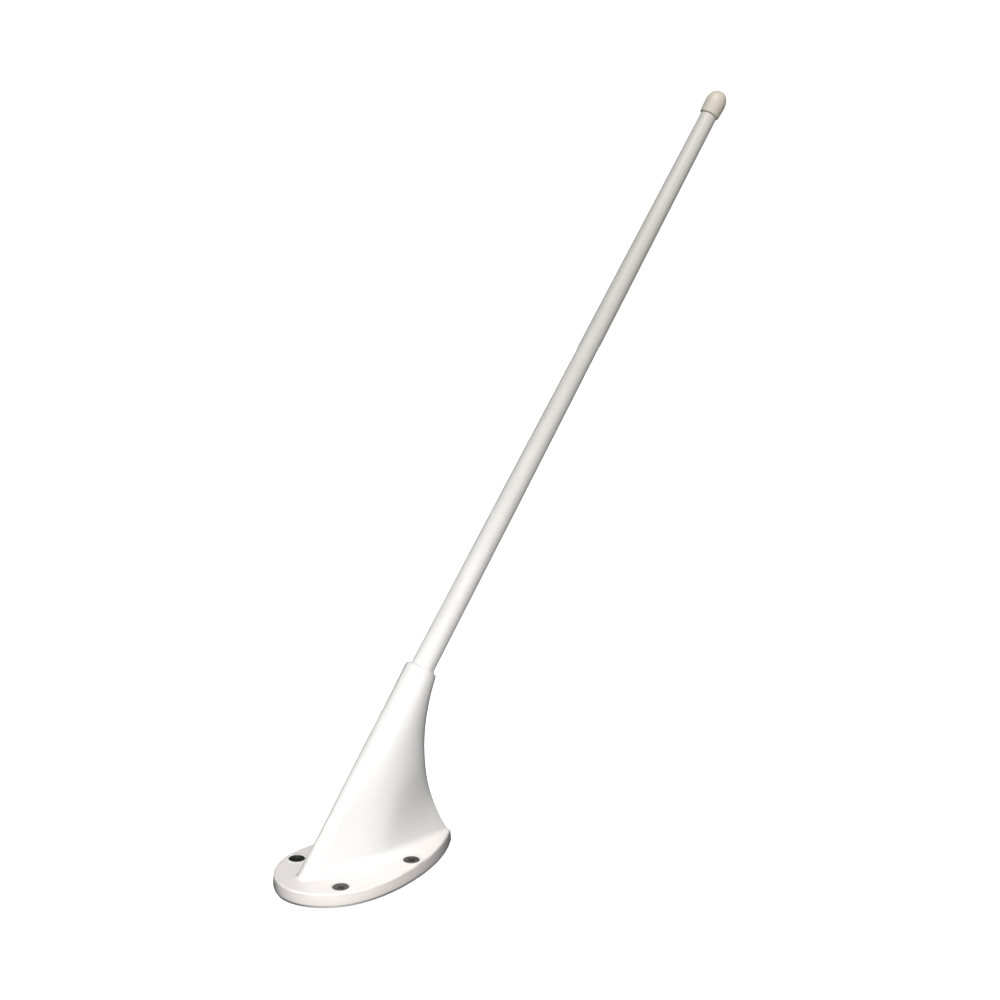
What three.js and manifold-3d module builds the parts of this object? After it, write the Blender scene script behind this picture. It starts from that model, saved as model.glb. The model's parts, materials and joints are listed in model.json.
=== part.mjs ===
// Swept VHF whip antenna: a tapered fibreglass whip standing in a streamlined fairing with a teardrop
// flange. Millimetres. +X points aft, the way the whip leans; +Z points up. The origin lies on the mounting
// face, at the centre of the four mounting screws.
import * as THREE from "three";
import { mergeVertices } from "three/addons/utils/BufferGeometryUtils.js";
import Module from "manifold-3d";

const wasm = await Module();
wasm.setup();

// ---------- driving dimensions ----------

const SWEEP = THREE.MathUtils.degToRad(35.7); // the whip's lean, from the vertical
const GAP = 0.3; // between neighbours in the leaning group
const SEAT = 0.05; // between flat neighbours that rest on each other
const SINK = 0.2; // how far one joined body reaches into the next

const plate = { thickness: 1.6, inset: 0.5, middle: [[-10, 8], [-9, 6]] };
const flange = {
  nose: -54.3, // X of the foremost point
  length: 128.2, // to where the sides would meet, before the tail is rounded
  top: 9.4, // height of the flat top above the mounting face
  edgeRadius: 1.3,
  draft: 0.4,
  tailRadius: 2,
  fullness: [86.6, 99.8, 81.9, 133.7], // how wide the outline swells, from nose to tail
};
const collar = { x: 52.2, z: 123, radius: 10.3, rim: 2 }; // centre of the collar's top face
const fairing = {
  trailingEdge: [70.9, 50.1, 47.2, 59.4], // X of the curve's control points, evenly spaced in height
  sideFillet: 6.5,
  wall: 2.8,
  cavityTop: 0.66, // as a share of the fairing's height
  tailWall: 9,
};
const ridge = { at: 0.5, sharpness: 6, nosePower: 0.52, tailPower: 0.95 }; // `at` is a share of the chord
const blunting = { most: 1.1, reach: 0.06 }; // of the leading edge: most at the flange, none at the collar
const whip = {
  rootRadius: 7.47,
  taper: 0.0056,
  wall: 1.7,
  top: 404,
  spigotRadius: 6.2,
  spigotTop: -2,
  spigotDepth: 42,
  boreStraight: 60, // the bore is straight up to here and tapers from here to the top
};
const cap = { rim: 396, length: 17.3, rimRadius: 6.25, rimEdge: 0.7, radius: 6.8, bore: 8.6 };
const ferrule = { radius: 7.7, inner: 6.5, bottom: -46, top: -3.5 };
const radiator = { radius: 1.2, sunk: 1.5, shortOfTop: 4 };
const stud = { radius: 1.5, length: 11, plug: 3.4, socketFloor: 1 };
const terminal = {
  radius: 3.2,
  reach: 7,
  halfWidth: 1.2,
  thickness: 0.8,
  below: 1.2,
  nutRadius: 3.1,
  nutHeight: 2.4,
};
const spacer = { bottoms: [20, 190, 360], length: 6 };
const screwAt = { front: [-27.1, 24.1], rear: [27.1, 21.2] };
const mountScrew = { headRadius: 4.55, shankRadius: 2.5, length: 12, recess: 2, sunk: 0.2 };
const bush = {
  bodyRadius: 4.3,
  rimRadius: 5.05,
  rimHeight: 1.1,
  rimTaper: 0.7,
  headSeat: 4.75,
  seatDrop: 0.45,
  bore: 2.75,
};
const plateScrew = { headRadius: 2.35, shankRadius: 1.25, length: 6.5, recess: 0.9 };
const plateScrewAt = [
  [-44.8, 0],
  [0, 27],
  [0, -27],
  [43.7, 11],
  [43.7, -11],
  [60.7, 0],
];
const panScrew = { headRadius: 2.4, headHeight: 1.4, shankRadius: 1.2, recess: 0.8 };
const insert = { radius: 2.1, bore: 1.4, height: 5.4 };
const jack = {
  x: 20,
  mouth: -14.5,
  barrelRadius: 4.83,
  barrelInner: 4.1,
  barrelFloor: -5,
  hexRadius: 8.1,
  hexTop: -0.5,
  hexHeight: 2.3,
  threadRadius: 4.7,
  threadTop: 8,
  rearRadius: 3.4,
  rearTop: 10,
  insulatorRadius: 2.45,
  bore: 2.6,
  contactRadius: 0.75,
  contactTop: 12.8,
  lug: { radius: 1, reach: 5.5, behindMouth: 4.6 },
  seal: { inner: 5, outer: 7 },
};
const tag = { inner: 4.9, outer: 6.8, reach: 8.8, thickness: 0.7, halfWidth: 1.5, top: 9 };
const washer = { inner: 4.9, outer: 6.9, bottom: 2.5, top: 3.2, slit: 0.5 };
const jackNut = { radius: 7.33, bottom: 3.3, top: 5.8 };
const pocket = { radius: 10, top: 7.8 }; // room for the jack's nut, moulded into the fairing
const board = { x: [-1, 27], z: [14, 52], corner: [5, 12], y: 3.7, thickness: 1.6 };
const bracket = { x: [-5, 11], thickness: 1, legTop: 24, footFront: -5 };
const bracketScrewX = [bracket.x[0] + 4, bracket.x[1] - 4];

// ---------- materials ----------

const look = (color, roughness, metalness) =>
  new THREE.MeshStandardMaterial({ color, roughness, metalness });
const paint = look(0xf4f3f0, 0.25, 0);
const whipPaint = look(0xe6e2d9, 0.4, 0);
const capPlastic = look(0xdfd6c8, 0.5, 0);
const sealant = look(0xe2dfd6, 0.6, 0);
const aluminium = look(0xb4b3b0, 0.45, 1);
const steel = look(0x7d7b78, 0.35, 1);
const nickel = look(0xc4c1b8, 0.3, 1);
const brass = look(0xc9a24a, 0.35, 1);
const copper = look(0xb87340, 0.4, 1);
const ptfe = look(0xf2f1ee, 0.5, 0);
const rubber = look(0x222222, 0.8, 0);
const laminate = look(0x2f6b3f, 0.5, 0);
const ceramic = look(0xb98a4c, 0.5, 0);
const wireJacket = look(0xb23a2a, 0.5, 0);

// ---------- solids ----------

// A triangle mesh as a solid, with shared corners merged and triangles of no area left out.
function solid(geometry) {
  const bare = geometry.clone();
  bare.deleteAttribute("normal");
  bare.deleteAttribute("uv");
  const merged = mergeVertices(bare, 1e-4);
  const corners = merged.index.array;
  const kept = [];
  for (let i = 0; i < corners.length; i += 3) {
    const [a, b, c] = corners.slice(i, i + 3);
    if (a !== b && b !== c && c !== a) kept.push(a, b, c);
  }
  return new wasm.Manifold(
    new wasm.Mesh({
      numProp: 3,
      vertProperties: merged.attributes.position.array,
      triVerts: new Uint32Array(kept),
    }),
  );
}

function geometryOf(body) {
  const { vertProperties, triVerts } = body.getMesh();
  const geometry = new THREE.BufferGeometry();
  geometry.setAttribute("position", new THREE.BufferAttribute(vertProperties, 3));
  geometry.setIndex(new THREE.BufferAttribute(triVerts, 1));
  return geometry;
}

const cut = (body, ...tools) => tools.reduce((rest, tool) => rest.subtract(tool), body);
const join = (body, ...others) => others.reduce((whole, other) => whole.add(other), body);

// A profile of [radius, height] points turned round the Z axis.
function turned(profile, segments = 24) {
  const points = profile.map(([r, z]) => new THREE.Vector2(r, z));
  return new THREE.LatheGeometry(points, segments).rotateX(Math.PI / 2);
}

// A ring or tube with a rectangular section.
function ring(inner, outer, bottom, top, segments = 24) {
  return turned([[inner, bottom], [outer, bottom], [outer, top], [inner, top], [inner, bottom]], segments);
}

// A solid round bar along Z.
function bar(radius, bottom, top, segments = 24) {
  return turned([[0, bottom], [radius, bottom], [radius, top], [0, top]], segments);
}

function box([x0, x1], [y0, y1], [z0, z1]) {
  const size = new THREE.BoxGeometry(x1 - x0, y1 - y0, z1 - z0);
  return size.translate((x0 + x1) / 2, (y0 + y1) / 2, (z0 + z1) / 2);
}

function hexagon(radius, bottom, top) {
  const prism = new THREE.CylinderGeometry(radius, radius, top - bottom, 6);
  return prism.rotateX(Math.PI / 2).translate(0, 0, (bottom + top) / 2);
}

// A closed skin through rings of equal length, from the bottom ring to the top one, with flat ends.
function loft(rings) {
  const count = rings[0].length;
  const points = rings.flat();
  const faces = [];
  for (let level = 0; level + 1 < rings.length; level += 1) {
    for (let i = 0; i < count; i += 1) {
      const a = level * count + i;
      const b = level * count + ((i + 1) % count);
      faces.push(a, b, b + count, a, b + count, a + count);
    }
  }
  for (const [level, flip] of [[0, true], [rings.length - 1, false]]) {
    const middle = points.length;
    points.push(rings[level].reduce((sum, p) => sum.add(p), new THREE.Vector3()).divideScalar(count));
    for (let i = 0; i < count; i += 1) {
      const a = level * count + i;
      const b = level * count + ((i + 1) % count);
      faces.push(middle, flip ? b : a, flip ? a : b);
    }
  }
  return new THREE.BufferGeometry().setFromPoints(points).setIndex(faces);
}

// A round wire along a curve.
function wire(curve, radius, steps, sides) {
  const section = new THREE.Shape();
  for (let i = 0; i < sides; i += 1) {
    const turn = (i / sides) * 2 * Math.PI;
    const method = i === 0 ? "moveTo" : "lineTo";
    section[method](radius * Math.cos(turn), radius * Math.sin(turn));
  }
  section.closePath();
  return new THREE.ExtrudeGeometry(section, { steps, extrudePath: curve, bevelEnabled: false });
}

function piece(name, geometry, material, parent) {
  const mesh = new THREE.Mesh(geometry, material);
  mesh.name = name;
  parent.add(mesh);
  return mesh;
}

// ---------- flange and base plate ----------

const cubicBlend = ([a, b, c, d], s) => {
  const t = 1 - s;
  return a * t ** 3 + 3 * b * t * t * s + 3 * c * t * s * s + d * s ** 3;
};

// Half the flange's width, at a share of its length behind the nose.
const halfWidth = (s) => Math.sqrt(s) * (1 - s) * cubicBlend(flange.fullness, s);

// A point of the flange's side and the outward direction there.
function sidePoint(s) {
  const step = 1e-4;
  const rise = (halfWidth(s + step) - halfWidth(s - step)) / (2 * step * flange.length);
  const out = new THREE.Vector2(-rise, 1).normalize();
  return { at: new THREE.Vector2(flange.nose + s * flange.length, halfWidth(s)), out };
}

// The share of the length where a round tail begins: there the side's normal meets the centreline one radius
// inside the side.
function tailStart(radius) {
  let s = 0.99;
  while (sidePoint(s).at.y / sidePoint(s).out.y < radius) s -= 0.0005;
  return s;
}

// The teardrop outline, moved inwards by an inset, as a loop that begins at the nose.
function teardrop(inset, perSide = 26) {
  const radius = Math.max(flange.tailRadius, inset + GAP);
  const end = tailStart(radius);
  const { at, out } = sidePoint(end);
  const centre = at.x - radius * out.x;
  const side = [new THREE.Vector2(flange.nose + inset, 0)];
  for (let i = 1; i <= perSide; i += 1) {
    const s = end * (1 - Math.cos((Math.PI * i) / perSide)) / 2;
    const p = sidePoint(s);
    side.push(p.at.addScaledVector(p.out, -inset));
  }
  const bend = radius - inset;
  for (const share of [2 / 3, 1 / 3]) {
    const turn = Math.acos(out.x) * share;
    side.push(new THREE.Vector2(centre + bend * Math.cos(turn), bend * Math.sin(turn)));
  }
  const tip = new THREE.Vector2(centre + bend, 0);
  const back = side.slice(1).reverse().map((p) => new THREE.Vector2(p.x, -p.y));
  return [...side, tip, ...back].reverse();
}

const levelRing = (points, z) => points.map((p) => new THREE.Vector3(p.x, p.y, z));

function flangeBody() {
  const { top, edgeRadius, draft } = flange;
  const rings = [levelRing(teardrop(0), plate.thickness + SEAT)];
  for (const share of [0, 1 / 3, 2 / 3, 1]) {
    const turn = (share * Math.PI) / 2;
    const inset = draft + edgeRadius * (1 - Math.cos(turn));
    rings.push(levelRing(teardrop(inset), top - edgeRadius * (1 - Math.sin(turn))));
  }
  return solid(loft(rings));
}

// ---------- fairing ----------

const axis = new THREE.Vector3(Math.sin(SWEEP), 0, Math.cos(SWEEP));
const across = new THREE.Vector3(Math.cos(SWEEP), 0, -Math.sin(SWEEP));
const collarTop = new THREE.Vector3(collar.x, 0, collar.z);

// The leading edge is the collar's front line, carried straight down to the flange.
function leadingEdge(v) {
  const upper = collarTop.clone().addScaledVector(axis, -collar.rim).addScaledVector(across, -collar.radius);
  const drop = (upper.z - flange.top) * (1 - v);
  return upper.add(new THREE.Vector3(-drop * Math.tan(SWEEP), 0, -drop));
}

// The trailing edge is hollow: it leaves the flange's tail and turns up to the collar.
function trailingEdge(v) {
  const upper = collarTop.clone().addScaledVector(axis, -collar.rim).addScaledVector(across, collar.radius);
  const height = THREE.MathUtils.lerp(flange.top, upper.z, v);
  return new THREE.Vector3(cubicBlend(fairing.trailingEdge, v), 0, height);
}

// The lower section's form: a round nose and a fine tail, with flanks that meet in a soft ridge.
function flanked(share) {
  const { at, sharpness, nosePower, tailPower } = ridge;
  const front = Math.max(share / at, 1e-9) ** nosePower;
  const rear = Math.max((1 - share) / (1 - at), 1e-9) ** tailPower;
  return (0.5 * front ** -sharpness + 0.5 * rear ** -sharpness) ** (-1 / sharpness);
}

// Half the thickness of the section at height v, at a share of its chord. It is round at the collar.
function halfThickness(v, share) {
  const { lerp, smoothstep } = THREE.MathUtils;
  const circle = 2 * Math.sqrt(share * (1 - share));
  const form = lerp(flanked(share), circle, smoothstep(v, 0.12, 0.55));
  const blunt = 1 + blunting.most * (1 - v) * Math.exp(-share / blunting.reach);
  return collar.radius * form * blunt;
}

// The fillet where the fairing's side runs out onto the flange.
function filletSpread(height, share) {
  const radius = fairing.sideFillet * Math.sin(Math.PI * share) ** 0.6;
  const left = radius - Math.max(height, 0);
  return left > 0 ? radius - Math.sqrt(radius * radius - left * left) : 0;
}

// One closed section of the fairing at height v. A wall thickness makes the section of its cavity instead.
function section(v, wall = 0, perSide = 14) {
  const front = leadingEdge(v);
  const rear = trailingEdge(v);
  const chord = front.distanceTo(rear);
  const first = (wall * 1.4) / chord;
  const last = 1 - (wall ? fairing.tailWall : 0) / chord;
  const near = [];
  for (let i = 1; i < perSide; i += 1) {
    const share = THREE.MathUtils.lerp(first, last, (1 - Math.cos((Math.PI * i) / perSide)) / 2);
    const at = front.clone().lerp(rear, share);
    const reach = wall ? halfThickness(v, share) - wall : halfThickness(v, share);
    at.y = -Math.max(reach + (wall ? 0 : filletSpread(at.z - flange.top, share)), 0.3);
    near.push(at);
  }
  const far = near.map((p) => new THREE.Vector3(p.x, -p.y, p.z)).reverse();
  return [front.clone().lerp(rear, first), ...near, front.clone().lerp(rear, last), ...far];
}

const lowered = (points, z) => points.map((p) => new THREE.Vector3(p.x, p.y, z));

// A ring square to the whip's axis, at a distance below the collar's top face.
function collarRing(depth, radius, perSide = 14) {
  const centre = collarTop.clone().addScaledVector(axis, -depth);
  return Array.from({ length: 2 * perSide }, (_, i) => {
    const turn = (Math.PI * i) / perSide;
    return centre.clone()
      .addScaledVector(across, -radius * Math.cos(turn))
      .add(new THREE.Vector3(0, -radius * Math.sin(turn), 0));
  });
}

function fairingBody() {
  const heights = [0.01, 0.025, 0.045, 0.075, 0.12, 0.2, 0.3, 0.42, 0.55, 0.68, 0.8, 0.9, 0.96];
  const foot = [plate.thickness + 2, flange.top - SINK].map((z) => lowered(section(0), z));
  const rings = [...foot, ...heights.map((v) => section(v))];
  for (const share of [0, 1 / 4, 1 / 2, 3 / 4, 1]) {
    const turn = (share * Math.PI) / 2;
    const radius = collar.radius - collar.rim * (1 - Math.cos(turn));
    rings.push(collarRing(collar.rim * (1 - Math.sin(turn)), radius));
  }
  const flangeEdge = flange.draft + flange.edgeRadius / 2;
  const withinFlange = loft([
    levelRing(teardrop(flangeEdge), 0),
    levelRing(teardrop(flangeEdge), collar.z + collar.radius),
  ]);
  return solid(loft(rings)).intersect(solid(withinFlange));
}

function fairingCavity() {
  const heights = [0.1, 0.2, 0.32, 0.45, 0.56, fairing.cavityTop];
  const rings = [
    lowered(section(0, fairing.wall), 0),
    section(0.02, fairing.wall),
    ...heights.map((v) => section(v, fairing.wall)),
  ];
  return solid(loft(rings));
}

// The bore for the whip's ferrule, along the leaning axis.
function ferruleBore() {
  const bore = bar(ferrule.radius + GAP, ferrule.bottom - 14, 5, 28);
  return solid(bore.rotateY(SWEEP).translate(collar.x, 0, collar.z));
}

const bushHole = () => [
  [0, 0],
  [bush.bodyRadius + 0.1, 0],
  [bush.bodyRadius + 0.1, flange.top - bush.rimHeight - bush.rimTaper],
  [bush.rimRadius + 0.1, flange.top - bush.rimHeight],
  [bush.rimRadius + 0.1, flange.top + 12],
  [0, flange.top + 12],
];

const mountingPlaces = Object.entries(screwAt).flatMap(([row, [x, y]]) => [
  { name: `${row}_right`, x, y },
  { name: `${row}_left`, x, y: -y },
]);

function baseFairing() {
  const bushHoles = mountingPlaces.map(({ x, y }) => solid(turned(bushHole(), 20).translate(x, y, 0)));
  const insertHole = () => bar(insert.radius + 0.1, 0, plate.thickness + insert.height + 0.5, 12);
  const insertHoles = plateScrewAt.map(([x, y]) => solid(insertHole().translate(x, y, 0)));
  const nutPocket = solid(bar(pocket.radius, 0, pocket.top, 32).translate(jack.x, 0, 0));
  return geometryOf(
    cut(
      join(flangeBody(), fairingBody()),
      fairingCavity(),
      ferruleBore(),
      nutPocket,
      ...bushHoles,
      ...insertHoles,
    ),
  );
}

function basePlate() {
  const outline = solid(loft([0, plate.thickness].map((z) => levelRing(teardrop(plate.inset), z))));
  // The middle is set in as a rectangle of its own, so one whole flat face lies round the origin.
  const middle = solid(box(...plate.middle, [0, plate.thickness]));
  const sheet = join(cut(outline, middle), middle);
  const through = plate.thickness + 1;
  const screwHole = () => bar(bush.bore, -1, through, 16);
  const screwHoles = mountingPlaces.map(({ x, y }) => solid(screwHole().translate(x, y, 0)));
  const { headRadius, shankRadius } = plateScrew;
  const sink = [
    [0, -1],
    [headRadius + 0.15, -1],
    [headRadius + 0.15, 0.15],
    [shankRadius + 0.15, headRadius - shankRadius + 0.15],
    [shankRadius + 0.15, through],
    [0, through],
  ];
  const sunk = plateScrewAt.map(([x, y]) => solid(turned(sink, 12).translate(x, y, 0)));
  const jackHole = solid(bar(jack.threadRadius + 0.15, -1, through).translate(jack.x, 0, 0));
  const tapped = bracketScrewX.map((x) =>
    solid(bar(panScrew.shankRadius + 0.1, 0.4, through, 12).translate(x, bracketScrewY, 0)),
  );
  return geometryOf(cut(sheet, ...screwHoles, ...sunk, jackHole, ...tapped));
}

// ---------- screws ----------

// A cross recess, cut down from z = 0.
function crossRecess(reach, depth) {
  const slot = reach * 0.13;
  const arm = (a, b) => solid(box([-a, a], [-b, b], [-depth, 1]));
  return join(arm(reach * 0.5, slot), arm(slot, reach * 0.5));
}

// A countersunk screw with its head's flat top at z = 0 and its shank pointing down.
function countersunkScrew({ headRadius, shankRadius, length, recess }, segments) {
  const rim = headRadius * 0.06;
  const cone = rim + headRadius - shankRadius;
  const chamfer = shankRadius * 0.2;
  const body = turned(
    [
      [0, -length],
      [shankRadius - chamfer, -length],
      [shankRadius, chamfer - length],
      [shankRadius, -cone],
      [headRadius, -rim],
      [headRadius, 0],
      [0, 0],
    ],
    segments,
  );
  return geometryOf(cut(solid(body), crossRecess(headRadius, recess)));
}

// A pan-head screw with its shank pointing down from z = 0.
function panHeadScrew(shankLength) {
  const { headRadius, headHeight, shankRadius, recess } = panScrew;
  const body = turned(
    [
      [0, -shankLength],
      [shankRadius, -shankLength],
      [shankRadius, 0],
      [headRadius, 0],
      [headRadius, headHeight * 0.6],
      [headRadius * 0.7, headHeight],
      [0, headHeight],
    ],
    16,
  );
  return geometryOf(cut(solid(body), crossRecess(headRadius, recess).translate([0, 0, headHeight])));
}

function addMountingHardware(parent) {
  const { bodyRadius, rimRadius, rimHeight, rimTaper, headSeat, seatDrop, bore } = bush;
  const bottom = plate.thickness + SEAT;
  const profile = [
    [bore, bottom],
    [bodyRadius, bottom],
    [bodyRadius, flange.top - rimHeight - rimTaper],
    [rimRadius, flange.top - rimHeight],
    [rimRadius, flange.top],
    [headSeat, flange.top],
    [headSeat, flange.top - seatDrop],
    [bore, flange.top - seatDrop - (headSeat - bore)],
    [bore, bottom],
  ];
  for (const { name, x, y } of mountingPlaces) {
    piece(`mounting_bush_${name}`, turned(profile, 20), steel, parent).position.set(x, y, 0);
    const screw = piece(`mounting_screw_${name}`, countersunkScrew(mountScrew, 20), steel, parent);
    screw.position.set(x, y, flange.top - mountScrew.sunk);
  }
}

function addPlateFasteners(parent) {
  const { radius, bore, height } = insert;
  plateScrewAt.forEach(([x, y], i) => {
    const screw = piece(`plate_screw_${i + 1}`, countersunkScrew(plateScrew, 12), steel, parent);
    screw.rotation.x = Math.PI;
    screw.position.set(x, y, 0);
    const bottom = plate.thickness + SEAT;
    const body = ring(bore, radius, bottom, bottom + height, 12);
    piece(`plate_insert_${i + 1}`, body, brass, parent).position.set(x, y, 0);
  });
}

// ---------- whip, in a group whose Z axis is the whip's own ----------

const whipRadius = (z) => whip.rootRadius - whip.taper * z;

function boreRadius(z) {
  const share = THREE.MathUtils.clamp((z - whip.boreStraight) / (whip.top - whip.boreStraight), 0, 1);
  return THREE.MathUtils.lerp(whip.spigotRadius - whip.wall, whipRadius(whip.top) - whip.wall, share);
}

function whipTube() {
  const { wall, top, spigotRadius, spigotTop, spigotDepth, boreStraight } = whip;
  return turned([
    [boreRadius(0), -spigotDepth],
    [spigotRadius, -spigotDepth],
    [spigotRadius, spigotTop],
    [whipRadius(0), spigotTop + 1],
    [whipRadius(top), top],
    [boreRadius(top), top],
    [boreRadius(0), boreStraight],
    [boreRadius(0), -spigotDepth],
  ]);
}

function tipCap() {
  const { rim, length, rimRadius, rimEdge, radius, bore } = cap;
  const curve = new THREE.SplineCurve([
    new THREE.Vector2(rimRadius, rim + rimEdge),
    new THREE.Vector2(radius * 0.985, rim + length * 0.36),
    new THREE.Vector2(radius * 0.985, rim + length * 0.55),
    new THREE.Vector2(radius * 0.84, rim + length * 0.8),
    new THREE.Vector2(radius * 0.5, rim + length * 0.95),
    new THREE.Vector2(0, rim + length),
  ]);
  const outside = curve.getPoints(10).map((p) => [Math.max(p.x, 0), p.y]);
  const inner = whipRadius(rim) + GAP;
  const inside = [[0, rim + bore], [inner, rim + bore], [inner, rim]];
  return turned([...inside, [rimRadius - rimEdge, rim], ...outside], 20);
}

// A bead that fills the corner between the collar's rounded rim and the whip.
function whipSeal() {
  const inner = whipRadius(0) + GAP;
  const flat = collar.radius - collar.rim;
  const rimHeight = (r) => Math.sqrt(collar.rim ** 2 - (r - flat) ** 2) - collar.rim;
  const underside = [8, 8.35, 8.7, 9.05].map((r) => [r, rimHeight(r) + SEAT]);
  return turned([[inner, SEAT], ...underside, [8.6, 0.25], [8.1, 0.9], [inner, 1.9], [inner, SEAT]]);
}

function ferruleStud() {
  const { inner, bottom } = ferrule;
  const socket = radiator.radius + GAP;
  return turned([
    [0, bottom - stud.length],
    [stud.radius, bottom - stud.length],
    [stud.radius, bottom],
    [inner - GAP, bottom],
    [inner - GAP, bottom + stud.plug],
    [socket, bottom + stud.plug],
    [socket, bottom + stud.socketFloor],
    [0, bottom + stud.socketFloor],
  ]);
}

// A flat ring on the stud with a tongue that takes the wire.
function ringTerminal() {
  const { radius, reach, halfWidth: half, thickness, below } = terminal;
  const bottom = ferrule.bottom - below;
  const eye = ring(stud.radius + GAP, radius, bottom, bottom + thickness);
  const tongue = box([radius - 0.6, reach], [-half, half], [bottom, bottom + thickness]);
  return geometryOf(join(solid(eye), solid(tongue)));
}

function terminalNut() {
  const top = ferrule.bottom - terminal.below - SEAT;
  const body = solid(hexagon(terminal.nutRadius, top - terminal.nutHeight, top));
  return geometryOf(cut(body, solid(bar(stud.radius + GAP / 2, top - terminal.nutHeight - 1, top + 1))));
}

function addWhip(parent) {
  const group = new THREE.Group();
  group.position.set(collar.x, 0, collar.z);
  group.rotation.y = SWEEP;
  parent.add(group);
  piece("whip_tube", whipTube(), whipPaint, group);
  piece("tip_cap", tipCap(), capPlastic, group);
  piece("whip_seal", whipSeal(), sealant, group);
  piece("whip_ferrule", ring(ferrule.inner, ferrule.radius, ferrule.bottom, ferrule.top), brass, group);
  piece("ferrule_stud", ferruleStud(), brass, group);
  const rod = bar(radiator.radius, ferrule.bottom + radiator.sunk, whip.top - radiator.shortOfTop, 12);
  piece("radiator_rod", rod, copper, group);
  piece("ring_terminal", ringTerminal(), nickel, group);
  piece("terminal_nut", terminalNut(), nickel, group);
  spacer.bottoms.forEach((z, i) => {
    const top = z + spacer.length;
    const body = ring(radiator.radius + GAP, boreRadius(top) - GAP, z, top, 12);
    piece(`rod_spacer_${i + 1}`, body, ptfe, group);
  });
}

// ---------- coaxial jack ----------

// Its front is a bayonet barrel below the plate, its rear is threaded and takes the nut inside the fairing.
function connectorBody() {
  const { mouth, barrelRadius, barrelInner, barrelFloor, hexTop, hexHeight, hexRadius } = jack;
  const { threadRadius, threadTop, rearRadius, rearTop, bore, lug } = jack;
  const shell = turned([
    [bore, barrelFloor],
    [barrelInner, barrelFloor],
    [barrelInner, mouth],
    [barrelRadius - 0.4, mouth],
    [barrelRadius, mouth + 0.5],
    [barrelRadius, hexTop - hexHeight / 2],
    [threadRadius, hexTop - hexHeight / 2],
    [threadRadius, threadTop],
    [rearRadius, threadTop],
    [rearRadius, rearTop],
    [bore, rearTop],
    [bore, barrelFloor],
  ]);
  const inside = threadRadius - GAP;
  const hex = cut(solid(hexagon(hexRadius, hexTop - hexHeight, hexTop)), solid(bar(inside, -10, 2)));
  const lugs = [-1, 1].map((side) => {
    const pin = bar(lug.radius, inside, lug.reach, 12).rotateX((-side * Math.PI) / 2);
    return solid(pin.translate(0, 0, mouth + lug.behindMouth));
  });
  return geometryOf(join(solid(shell), hex, ...lugs));
}

// The contact is a hollow socket in front and a solder cup behind.
function connectorContact() {
  const { mouth, contactRadius, contactTop: rear } = jack;
  const front = mouth + 2.2;
  const hollow = contactRadius * 0.6;
  return turned(
    [
      [0, front + 5],
      [hollow, front + 5],
      [hollow, front],
      [contactRadius, front],
      [contactRadius, rear],
      [hollow, rear],
      [hollow, rear - 2.5],
      [0, rear - 2.5],
    ],
    12,
  );
}

// A split ring.
function lockWasher() {
  const { inner, outer, bottom, top, slit } = washer;
  const gap = box([inner - 1, outer + 1], [-slit, slit], [bottom - 1, top + 1]);
  return geometryOf(cut(solid(ring(inner, outer, bottom, top)), solid(gap)));
}

// A ring under the washer with a tongue that turns up.
function groundTag() {
  const { inner, outer, reach, thickness, halfWidth: half, top } = tag;
  const bottom = plate.thickness + SEAT;
  const eye = ring(inner, outer, bottom, bottom + thickness);
  const tongue = box([outer - 0.8, reach], [-half, half], [bottom, bottom + thickness]);
  const upright = box([reach - thickness, reach], [-half, half], [bottom, top]);
  return geometryOf(join(solid(eye), solid(tongue), solid(upright)));
}

function addJack(parent) {
  const { mouth, insulatorRadius, contactRadius, rearTop, hexTop } = jack;
  const group = new THREE.Group();
  group.position.x = jack.x;
  parent.add(group);
  const nutBore = solid(bar(jack.threadRadius + 0.15, jackNut.bottom - 1, jackNut.top + 1));
  const nut = cut(solid(hexagon(jackNut.radius, jackNut.bottom, jackNut.top)), nutBore);
  const insulator = ring(contactRadius + 0.15, insulatorRadius, mouth + 1, rearTop - 0.5);
  piece("connector_body", connectorBody(), nickel, group);
  piece("connector_insulator", insulator, ptfe, group);
  piece("connector_contact", connectorContact(), brass, group);
  piece("connector_seal", ring(jack.seal.inner, jack.seal.outer, hexTop + SEAT, -SEAT), rubber, group);
  piece("ground_tag", groundTag(), nickel, group);
  piece("connector_lock_washer", lockWasher(), steel, group);
  piece("connector_nut", geometryOf(nut), nickel, group);
}

// ---------- matching network ----------

const boardFront = board.y - board.thickness / 2;
const boardBack = board.y + board.thickness / 2;
const bracketScrewY = -1.5;
const boardScrewX = [board.x[0] + 2.4, bracket.x[1] - 2.4];
const boardScrewZ = 19;
const screwHole = panScrew.shankRadius + 0.15;
const coil = { at: [14, -1.7, 28], radius: 3.75, wire: 0.45, pitch: 2.4, turns: 6 };
const former = { inner: 1.8, outer: 3.1, bottom: -1, top: 17 };
const lead = { radius: 0.9, pin: 0.3 };

const alongY = (geometry) => geometry.rotateX(Math.PI / 2);

// The board, whose upper front corner is cut off to clear the fairing's nose.
function matchingBoard() {
  const [front, rear] = board.x;
  const [bottom, top] = board.z;
  const [along, down] = board.corner;
  const outline = new THREE.Shape()
    .moveTo(front, bottom)
    .lineTo(rear, bottom)
    .lineTo(rear, top)
    .lineTo(front + along, top)
    .lineTo(front, top - down)
    .closePath();
  const blank = new THREE.ExtrudeGeometry(outline, { depth: board.thickness, bevelEnabled: false });
  const sheet = solid(blank.rotateX(Math.PI / 2).translate(0, boardBack, 0));
  const hole = (x) => solid(alongY(bar(screwHole, -8, 8, 12)).translate(x, 0, boardScrewZ));
  return geometryOf(cut(sheet, ...boardScrewX.map(hole)));
}

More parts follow.
